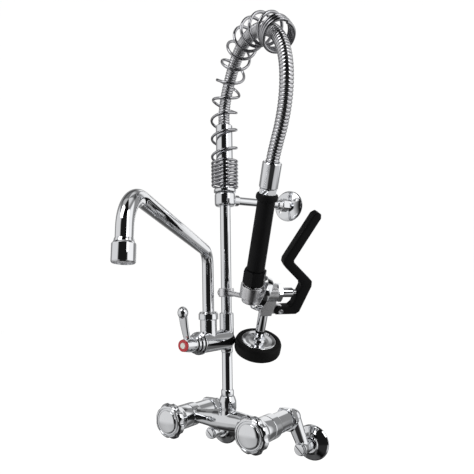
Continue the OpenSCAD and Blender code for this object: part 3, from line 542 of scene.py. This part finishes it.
def arm(side, name):
    """Inlet arm: neck, elbow and taper, then the shank along the wall normal, with the slotted
    screw in its lower end and the cover flange on the shank."""
    def build(bm):
        top, low = Vector((side * VALVE_X, -42, VALVE_Z)), Vector((side * INLET_X, -31.5, 0))
        lathe(bm, [(0, 45), (9.5, 45), (9.5, 70), (0, 70)], valve(side) @ rot("X", 180))
        ball_mesh(bm, at(*top), 13)
        rod_mesh(bm, top, low, 12.4, 9.2)
        shank = [(0, 0), (9.9, 0), (9.9, 18), (10.45, 18.4), (10.45, 43.4), (0, 43.4)]
        lathe(bm, soften(shank, [0, 0, 0, 0, 1.0, 0], 4), inlet(side))

    put(casting(name + "_arm_cast", build, CAST, 0.7, 6), name + "_inlet_arm", "chrome", name + "_arm")
    thread = [(6.6, -15)]
    for k in range(8):
        thread += [(9.7, -15 + THREAD_PITCH * k), (10.42, -15 + THREAD_PITCH * (k + 0.5))]
    bm = bmesh.new()
    lathe(bm, thread + [(9.7, -0.4), (10.0, 0.2), (10.0, 6), (6.6, 6)], inlet(side), 72, True)
    put(finish_mesh(name + "_shank_thread", bm, CHROME, 25), name + "_inlet_arm", "chrome")
    screw = [(0, 35.7), (6.4, 35.7), (6.4, 43.9), (7.9, 43.9), (8.8, 44.7), (8.8, 46.2), (7.9, 47.1),
             (0, 47.1)]
    bm = bmesh.new()
    lathe(bm, soften(screw, 0.3, 3), inlet(side), 72)
    head = finish_mesh(name + "_stop_head", bm, CHROME, 35)
    bm = bmesh.new()
    slot = inlet(side) @ at(0, 0, 47.3) @ rot("Z", 45) @ Matrix.Diagonal((1.8, 30, 2.6, 1))
    bmesh.ops.create_cube(bm, size=1, matrix=slot)
    bm.transform(Matrix.Scale(MM, 4))
    cut_away(head, bm)
    put(head, name + "_stop", "chrome", name + "_stop_screw")
    flange = [(10.56, 2.2), (24.6, 2.2), (26.6, 0), (28.2, 0), (28.5, 0.4), (28.5, 1.9), (26.8, 3.9),
              (22, 6.3), (17.6, 8.8), (14.8, 11.6), (13.4, 13.9), (10.56, 13.9)]
    put(turned(name + "_flange_dished", inlet(side), flange, CHROME, 0.8, 96), name + "_cover_flange",
        "chrome", name + "_wall_flange")


arm(-1, "left")
arm(1, "right")

# ---------------------------------------------------------------- riser and add-on faucet
put(turned("riser_nut_turned", RISER,
           [(ON_PIPE, 86), (9.8, 86), (9.8, 93), (9.0, 95), (ON_PIPE, 95)], CHROME, 0.4),
    "faucet", "chrome", "riser_nut")
for name, low, high in (("lower_pipe", 77.1, 158), ("upper_pipe", 184, 441)):
    pipe = [(PIPE_BORE, low), (PIPE_R, low), (PIPE_R, high), (PIPE_BORE, high)]
    put(turned(name + "_smooth", RISER, pipe, CHROME, 0, 96), "faucet", "chrome", name)


def build_addon(bm):
    lathe(bm, [(0, 2), (14.5, 2), (14.5, 66), (0, 66)], ADDON)
    ball_mesh(bm, ADDON, 12.9)
    lathe(bm, [(0, 150), (8.0, 150), (8.8, 151), (8.8, 170), (0, 170)], RISER)
    lathe(bm, [(0, 170), (10.8, 170), (10.8, 208.6), (9.8, 210), (0, 210)], RISER)
    lathe(bm, [(0, 170), (12, 170), (12, 202), (10.5, 202), (10.5, 208), (0, 208)], SWIVEL)


put(casting("addon_casting", build_addon, CAST, 0.7, 8), "faucet", "chrome", "addon_body")
put(turned("addon_bonnet_turned", ADDON,
           [(5, 66), (16.2, 66), (16.2, 70), (14.2, 71.5), (14.2, 75), (12, 76.5), (12, 80), (10, 81.5),
            (10, 83), (5, 83)], CHROME, 0.5), "faucet", "chrome", "addon_bonnet")
bm = bmesh.new()
hub = [(4.05, 83.3), (10.5, 83.3), (10.1, 89), (8.7, 98.8), (8.2, 100), (4.05, 100)]
lathe(bm, soften(hub, 0.5, 4, True), ADDON, 72, True)
lathe(bm, [(0, 99), (4.2, 99)], ADDON, 72)
put(finish_mesh("lever_hub", bm, CHROME), "addon_lever", "chrome", "lever_handle")
# The blade widens and thins from hub to tip; its section is an oval with flattened sides
rings = []
for k in range(25):
    u = k / 24
    y = 6.0 + 32.5 * u
    z = 92.0 + 8.6 * u + 0.8 * math.sin(pi * u)
    half_w = 5.2 + 1.9 * u
    half_t = 2.9 - 0.2 * u
    ring = []
    for j in range(40):
        a = 2 * pi * j / 40
        c, s = math.cos(a), math.sin(a)
        ring.append(ADDON @ Vector((half_w * math.copysign(abs(c) ** 0.75, c), y - 0.15 * half_t * s,
                                    z + half_t * math.copysign(abs(s) ** 0.85, s))))
    rings.append(ring)
bm = bmesh.new()
skin(bm, rings)
ball_mesh(bm, ADDON @ at(0, 44, 101), 7.2, (1, 1.15, 1))
put(finish_mesh("lever_blade", bm, CHROME), "addon_lever", "chrome")
put(turned("index_ring_red", ADDON,
           [(4.2, 100.05), (8.2, 100.05), (8.2, 102), (7.7, 102.5), (4.2, 102.5)], RED, 0.3),
    "addon_lever", "red_plastic", "index_ring")
put(turned("index_button_pale", ADDON,
           [(0, 100.05), (4.15, 100.05), (4.15, 102.4), (3.4, 102.8), (0, 102.85)], WHITE, 0.2, 48, False),
    "addon_lever", "white_plastic", "index_button")

# ---------------------------------------------------------------- spout
RISE, RUN = 8.0, 219.0  # slope in degrees and length of the straight part
BEND, BEND_Z = 22.0, 279.0  # radius and start of the bend out of the upright
CROOK, CROOK_END, DROP = 36.0, 83.0, 12.5  # radius, end angle and straight end of the crook


def heading(deg):
    """Unit vector in the spout's plane, deg from straight up towards the outlet."""
    return Vector((math.sin(rad(deg)), math.cos(rad(deg))))


bend_mid = Vector((BEND, BEND_Z))
bend = [bend_mid + BEND * heading(-90 + (90 - RISE) * k / 20) for k in range(1, 21)]
stop = bend[-1] + RUN * heading(90 - RISE)
crook_mid = stop - CROOK * heading(-RISE)
crook = [crook_mid + CROOK * heading(-RISE + (RISE + CROOK_END) * k / 28) for k in range(1, 29)]
outlet = crook[-1] + DROP * heading(CROOK_END + 90)
centre = [Vector((0, 196)), Vector((0, BEND_Z))] + bend
centre += [bend[-1].lerp(stop, 0.5), stop] + crook + [outlet]
bm = bmesh.new()
skin(bm, tube_rings([SWIVEL @ Vector((p.x, 0, p.y)) for p in centre], SPOUT_R, 64,
                    up=SWIVEL.to_3x3() @ Vector((0, 1, 0))))
put(finish_mesh("spout_bent", bm, CHROME, 60), "swing_spout", "chrome", "spout")
put(turned("spout_nut_turned", SWIVEL,
           [(8.32, 202), (14, 202), (14, 210), (12.6, 212), (12, 213), (8.32, 213)], CHROME, 0.6),
    "faucet", "chrome", "spout_nut")
OUT = SWIVEL @ at(outlet.x, 0, outlet.y) @ rot("Y", CROOK_END - 90)
shell = [(9.3, -20), (10.2, -20), (11, -18.8), (11, -3), (9.4, -1), (8.65, 2), (8.3, 2), (8.3, 0.1), (6, 0),
         (6, -2.5), (9.3, -2.5)]
put(turned("aerator_shell_turned", OUT, shell, CHROME, 0.35), "swing_spout", "chrome", "aerator_shell")

# ---------------------------------------------------------------- hook, bracket, spring seat, hose ends
to_spray = Vector((FOOT.x, FOOT.y + REACH, 0)).normalized()


def build_hook(bm):
    low, high = CLAMP_Z - 6.5, CLAMP_Z + 6.5
    lathe(bm, soften([(ON_PIPE, low), (11.5, low), (11.5, high), (ON_PIPE, high)], 0.8, 3, True),
          RISER, 72, True)
    rod_mesh(bm, Vector((0, -REACH, CLAMP_Z - 1)) + to_spray * 10,
             Vector((0, -REACH, CLAMP_Z - 5.5)) + to_spray * 47, 3.7)
    rings = []
    for k in range(61):
        a = rad(74 + 212 * k / 60)
        c, s = math.cos(a), math.sin(a)
        rings.append([SPRAY @ Vector((r * c, r * s, z)) for r, z in
                      ((13.45, -8.9), (16.95, -8.9), (16.95, 9.6), (13.45, 9.6))])
    skin(bm, rings)


put(casting("hook_casting", build_hook, SATIN, 0.6, 4), "faucet", "chrome", "hook")
hook_bearing = math.degrees(math.atan2(to_spray.y, to_spray.x))
put(turned("hook_thumb", at(0, -REACH, CLAMP_Z) @ rot("Z", hook_bearing) @ rot("Y", -90),
           [(0, 8.4), (3, 8.4), (3, 11.8), (5.5, 11.8), (5.5, 16.8), (4, 18.3), (0, 18.3)],
           CHROME, 0.4, 48, False), "hook_thumb_screw", "chrome", "hook_screw")


def build_collar(bm):
    lathe(bm, soften([(ON_PIPE, 369.25), (13.8, 369.25), (15.6, 371.6), (15.75, 379), (15.6, 386.4),
                      (13.8, 388.75), (ON_PIPE, 388.75)], 0.6, 3, True), RISER, 72, True)
    c = Vector((0, -REACH, BRACKET_Z))
    rod_mesh(bm, c + ROD_DIR * 12, c + ROD_DIR * 22, 8.6, 8.2)


put(casting("bracket_collar_cast", build_collar, CAST, 0.6, 5), "faucet", "chrome", "bracket_collar")
bm = bmesh.new()
rod_mesh(bm, Vector((0, -REACH, BRACKET_Z)) + ROD_DIR * 14.1, BALL - ROD_DIR * 7.6, 6, 6, 64)
put(finish_mesh("bracket_rod_smooth", bm, CHROME, 50), "faucet", "chrome", "bracket_rod")
bm = bmesh.new()
hexagon(bm, -9, 2.5, 10.5, ROD, 1.0, 0, 6.6)
lathe(bm, soften([(6.1, -17), (7.4, -17), (8, -16.2), (8, -8.9), (6.1, -8.9)], 0.3, 3, True), ROD, 64, True)
put(finish_mesh("bracket_nut_hex", bm, CHROME, 25), "faucet", "chrome", "bracket_nut")
# The screw flange: a shallow dome with two screw holes, on a stalk and ball
PLATE = at(BRACKET_X, 0, BRACKET_Z) @ rot("X", 90)
SCREW_RING, SCREW_HOLE = 17.0, 2.3
bm = bmesh.new()
lathe(bm, [(0, 0), (24.5, 0.0), (24.5, 1.2), (24.1, 1.6), (22.0, 2.6), (9.0, 3.4), (6.6, 4.0),
           (5.5, 5.5), (3.2, 5.6), (3.2, 10.5)], PLATE, 96)
ball_mesh(bm, at(*BALL), 6.5)
domed = finish_mesh("bracket_flange_domed", bm, CHROME, 35)
for angle in (30, 210):
    hole = PLATE @ rot("Z", angle) @ Vector((SCREW_RING, 0, 0))
    bm = bmesh.new()
    rod_mesh(bm, hole + Vector((0, 4, 0)), hole - Vector((0, 8, 0)), SCREW_HOLE, SCREW_HOLE, 32)
    cut_away(domed, bm)
put(domed, "wall_bracket_flange", "chrome", "bracket_flange")
put(turned("spring_seat_turned", RISER,
           [(ON_PIPE, 389), (15.5, 389), (16.8, 390.2), (16.8, 393.8), (15.5, 395), (ON_PIPE, 395)],
           CHROME, 0.4), "faucet", "chrome", "spring_seat")
put(turned("hose_sleeve_turned", RISER,
           [(ON_PIPE, 437), (11.6, 437), (12.6, 439), (12.6, 488.5), (11.6, 490), (8.72, 490),
            (8.72, 484), (5, 484), (5, 441.1), (ON_PIPE, 441.1)], CHROME, 0.5, 96),
    "faucet", "chrome", "hose_sleeve")
put(turned("hose_ferrule_turned", SPRAY,
           [(5, 146.05), (11.4, 146.05), (12.3, 147.5), (12.3, 177.5), (11.4, 179), (8.9, 179), (8.9, 173),
            (5, 173)], CHROME, 0.5, 96), "faucet", "chrome", "hose_ferrule")

# ---------------------------------------------------------------- spray valve
put(hex_piece("spray_nut_hex", 139.05, 145.95, 12.4, SPRAY, CHROME, 1.0, 12, 5),
    "faucet", "chrome", "spray_nut")
put(turned("grip_sleeve", SPRAY,
           [(7.53, 33.05), (12.35, 33.05), (12.4, 34), (11.6, 129.4), (13.5, 131), (14.35, 132.6),
            (14.4, 136), (13.4, 138.2), (12.0, 138.95), (7.53, 138.95)], GRIP, 0.7, 96),
    "faucet", "black_plastic", "grip")


def grip_collar():
    """A hexagonal collar with eased corners, drawn in by the second number of each level."""
    bm = bmesh.new()
    seg = 120
    flat_r = 16.8 * math.cos(pi / 6)
    rings = []
    for z, limit in ((10, 7.53), (10.02, 11.2), (10.4, 12.2), (13, 15.0), (15.2, 16.8), (30.6, 16.8),
                     (31.6, 16.0), (32.6, 14.2), (32.95, 12.8), (32.97, 7.53)):
        ring = []
        for k in range(seg):
            a = 2 * pi * k / seg
            q = a % (pi / 3) - pi / 6
            r = min(flat_r / math.cos(q) - 0.35 * (1 - math.cos(6 * q)) * 0.5, limit)
            ring.append(SPRAY @ Vector((r * math.cos(a), r * math.sin(a), z)))
        rings.append(ring)
    rings.append(rings[0])
    skin(bm, rings, caps=False)
    return finish_mesh("grip_collar_hex", bm, PLASTIC, 28)


put(grip_collar(), "faucet", "black_plastic", "grip_collar")


def build_spray(bm):
    lathe(bm, [(0, -17), (12, -17), (13, -16), (13, 9.9), (0, 9.9)], SPRAY)
    lathe(bm, [(0, 0), (12.5, 0), (12.5, 35.4), (12, 36), (0, 36)], CHAMBER)
    outline = [(12, 9), (33, 9), (35.6, 6), (35.6, -18), (33.6, -24), (31.6, -36.6), (16, -36.6),
               (13.4, -20)]
    skin(bm, [[SPRAY @ Vector((x, y, z)) for x, z in outline] for y in (-9, 9)])
    lug = [(30, -20), (36, -19), (50, -25), (52, -31), (49, -36), (30, -36.6)]
    skin(bm, [[SPRAY @ Vector((x, y, z)) for x, z in lug] for y in (-3, 3)])


put(casting("spray_casting", build_spray, SATIN, 0.6, 6), "faucet", "satin_casting", "spray_body")
put(turned("spray_neck", NECK, [(4.5, -74), (7.1, -74), (7.1, -34), (4.5, -34)], CHROME, 0.2),
    "faucet", "chrome")
put(hex_piece("bonnet_nut_hex", 36.05, 42.45, 14, CHAMBER, CHROME, 1.0, 15, 4.4),
    "faucet", "chrome", "bonnet_nut")
put(turned("stem_sleeve_turned", CHAMBER,
           [(4.36, 42.5), (6.2, 42.5), (7.05, 44), (7.05, 59), (6.2, 60.5), (4.36, 60.5)], CHROME, 0.4),
    "faucet", "chrome", "stem_sleeve")
LEVER = [(37.5, -36), (70, -36), (75, -32), (86, 9), (85, 17), (52.5, 45.5), (51.5, 49), (78.5, 110),
         (77.5, 116), (72, 118.5), (66.5, 115), (37, 50), (37, 44), (41, 38), (68, 14), (69.5, 9), (68, 3),
         (62, -19), (58, -23.5), (40, -24), (37.5, -27)]
put(plate("lever_moulded", LEVER, 14, SPRAY, PLASTIC, 2.6, 2.5, 5), "spray_lever", "black_plastic",
    "squeeze_lever")
PIVOT = SPRAY @ at(45.5, 0, -30.5) @ rot("X", 90)
bm = bmesh.new()
for s in (1, -1):
    face = PIVOT @ Matrix.Diagonal((1, 1, s, 1))
    head = [(0, 7.8), (1.7, 7.8), (1.9, 8.6), (3.2, 8.7), (3.6, 8.1), (3.6, 7.3), (0, 7.3)]
    lathe(bm, soften(head, 0.15, 3), face, 48)
put(finish_mesh("pivot_screw", bm, CHROME, 30), "faucet", "steel", "lever_pin")
RING = SPRAY @ at(14, 0, -4) @ rot("Z", -10) @ rot("Y", 112)
put(turned("ring_band", RING, [(23.4, -4), (25, -4), (25, 4), (23.4, 4)], CHROME, 0.5, 96),
    "spray_hang_ring", "chrome", "hang_ring")
put(turned("dish_spun", NECK,
           [(4.5, -87), (25.5, -87), (25.5, -82), (24.2, -81.2), (20, -82.6), (15, -83.4),
            (9, -82.6), (7.5, -79), (4.5, -79)], CHROME, 0.5, 96),
    "faucet", "chrome", "spray_dish")
put(hex_piece("dish_nut", -79, -74, 9, NECK, CHROME, 0.8, 20, 4.5), "faucet", "chrome")
put(turned("bumper_ring", NECK,
           [(25.7, -93), (23.1, -94), (23.1, -102), (31, -102), (33.5, -100), (34.5, -97), (34.5, -86),
            (32.9, -82.4), (31, -81), (26.6, -81), (25.7, -82)], RUBBER, 1.4, 120),
    "faucet", "black_rubber", "bumper")

# ---------------------------------------------------------------- finishes of the nodes left as they are
FINISH = {"cartridges": BRASS, "left_spindle": BRASS, "right_spindle": BRASS, "addon_cartridge": BRASS,
          "lever_spindle": BRASS, "union_washers": SEAL, "left_knob_screw": STEEL, "right_knob_screw": STEEL,
          "valve_stem": STEEL, "valve_spring": STEEL, "handle_tube": STEEL, "spout_bush": WHITE,
          "aerator_insert": GREY, "spray_face": GREY}
for name, o in nodes.items():
    o.data.materials.clear()
    o.data.materials.append(FINISH.get(name, CHROME))

# ---------------------------------------------------------------- studio (metres)
def emit(mat, strength):
    shader = mat.node_tree.nodes["Principled BSDF"]
    shader.inputs["Emission Color"].default_value = (1, 1, 1, 1)
    shader.inputs["Emission Strength"].default_value = strength


# A pale floor below the view, which the metal doesn't mirror
FLOOR_Z, FLOOR_SIZE = -0.45, 16
white = material("studio_white", (0.45, 0.45, 0.45), 0.0, (0.7, 0.8), None, (2, 0.99))
emit(white, 0.85)
bm = bmesh.new()
bmesh.ops.create_grid(bm, x_segments=2, y_segments=2, size=0.5)
bm.transform(at(0, 0, FLOOR_Z) @ Matrix.Diagonal((FLOOR_SIZE, FLOOR_SIZE, 1, 1)))
floor = finish_mesh("floor", bm, white)
floor.visible_glossy = False

# A white dome behind everything, seen only directly
glow = bpy.data.materials.new("backdrop_white")
glow.use_nodes = True
glow.node_tree.nodes["Principled BSDF"].inputs["Base Color"].default_value = (0, 0, 0, 1)
emit(glow, 1.0)
bm = bmesh.new()
bmesh.ops.create_icosphere(bm, subdivisions=4, radius=9)
dome = finish_mesh("backdrop", bm, glow)
for ray in ("visible_glossy", "visible_diffuse", "visible_transmission", "visible_shadow"):
    setattr(dome, ray, False)

# The studio that the metal reflects: tall dark and white walls by compass direction in degrees
# (0 in front of the faucet, 90 to its right), each with its brightness. LOW_WALLS take over a
# little below the horizon, and HEIGHTS dims both by the sine of the elevation.
world = bpy.data.worlds.new("studio")
bpy.context.scene.world = world
world.use_nodes = True
sky = world.node_tree
WALLS = [(-180, 1.0), (-152, 1.0), (-143, 0.30), (-83, 0.30), (-76, 0.80), (-12, 0.80), (0, 0.012),
         (80, 0.012), (88, 1.1), (140, 1.1), (149, 0.30), (174, 0.30), (180, 1.0)]
LOW_WALLS = [(-180, 0.40), (-150, 0.10), (-100, 0.10), (-80, 0.50), (-40, 0.62), (-4, 0.50),
             (10, 0.03), (68, 0.03), (78, 0.60), (120, 0.70), (136, 0.45), (150, 0.12), (172, 0.12),
             (180, 0.40)]
LOW_FROM = [(-1, 1), (-0.32, 1), (-0.22, 0), (1, 0)]
HEIGHTS = [(-1, 0.16), (-0.80, 0.16), (-0.66, 1.0), (0.62, 1.0), (0.70, 0.25), (0.80, 0.25),
           (0.90, 0.7), (1, 0.7)]


def ramp_of(value, stops, low, high):
    """Grey read off the stops at the value, which runs from low to high."""
    near = sky.nodes.new("ShaderNodeMapRange")
    near.inputs["From Min"].default_value = low
    near.inputs["From Max"].default_value = high
    sky.links.new(value, near.inputs["Value"])
    ramp = sky.nodes.new("ShaderNodeValToRGB")
    sky.links.new(near.outputs["Result"], ramp.inputs["Fac"])
    e = ramp.color_ramp.elements
    e.remove(e[1])
    e[0].color = (*[stops[0][1]] * 3, 1)
    for x, v in stops[1:]:
        e.new((x - low) / (high - low)).color = (v, v, v, 1)
    return ramp.outputs["Color"]


def calculate(kind, *values):
    """The output of one math node, each of whose inputs is a socket or a number."""
    node = sky.nodes.new("ShaderNodeMath")
    node.operation = kind
    for k, value in enumerate(values):
        if isinstance(value, (int, float)):
            node.inputs[k].default_value = value
        else:
            sky.links.new(value, node.inputs[k])
    return node.outputs[0]


def blend_of(kind, factor, a, b):
    mix = sky.nodes.new("ShaderNodeMix")
    mix.data_type = "RGBA"
    mix.blend_type = kind
    if factor is None:
        mix.inputs["Factor"].default_value = 1.0
    else:
        sky.links.new(factor, mix.inputs["Factor"])
    sky.links.new(a, mix.inputs["A"])
    sky.links.new(b, mix.inputs["B"])
    return mix.outputs["Result"]


toward = sky.nodes.new("ShaderNodeTexCoord")
split = sky.nodes.new("ShaderNodeSeparateXYZ")
sky.links.new(toward.outputs["Generated"], split.inputs["Vector"])
bearing = calculate("ARCTAN2", split.outputs["X"], calculate("MULTIPLY", split.outputs["Y"], -1))
compass = calculate("MULTIPLY", bearing, 180 / pi)
walls = blend_of("MIX", ramp_of(split.outputs["Z"], LOW_FROM, -1, 1),
                 ramp_of(compass, WALLS, -180, 180), ramp_of(compass, LOW_WALLS, -180, 180))
seen = blend_of("MULTIPLY", None, walls, ramp_of(split.outputs["Z"], HEIGHTS, -1, 1))
sky.links.new(seen, sky.nodes["Background"].inputs["Color"])
MIDDLE = Vector((0.06, -0.15, 0.28))


def lamp(name, az, el, dist, size, power):
    """An area lamp that faces the middle of the faucet from a bearing and elevation."""
    a, e = rad(az), rad(el)
    d = Vector((math.sin(a) * math.cos(e), -math.cos(a) * math.cos(e), math.sin(e)))
    data = bpy.data.lights.new(name, "AREA")
    data.shape = "RECTANGLE"
    data.size, data.size_y = size
    data.energy = power
    o = bpy.data.objects.new(name, data)
    bpy.context.scene.collection.objects.link(o)
    o.location = MIDDLE + d * dist
    o.rotation_mode = "QUATERNION"
    o.rotation_quaternion = d.to_track_quat("Z", "Y")


lamp("key", -5, 45, 1.7, (0.8, 0.8), 6)
lamp("side", 75, 30, 1.7, (0.5, 1.0), 4)
bpy.context.scene.view_settings.view_transform = "Standard"
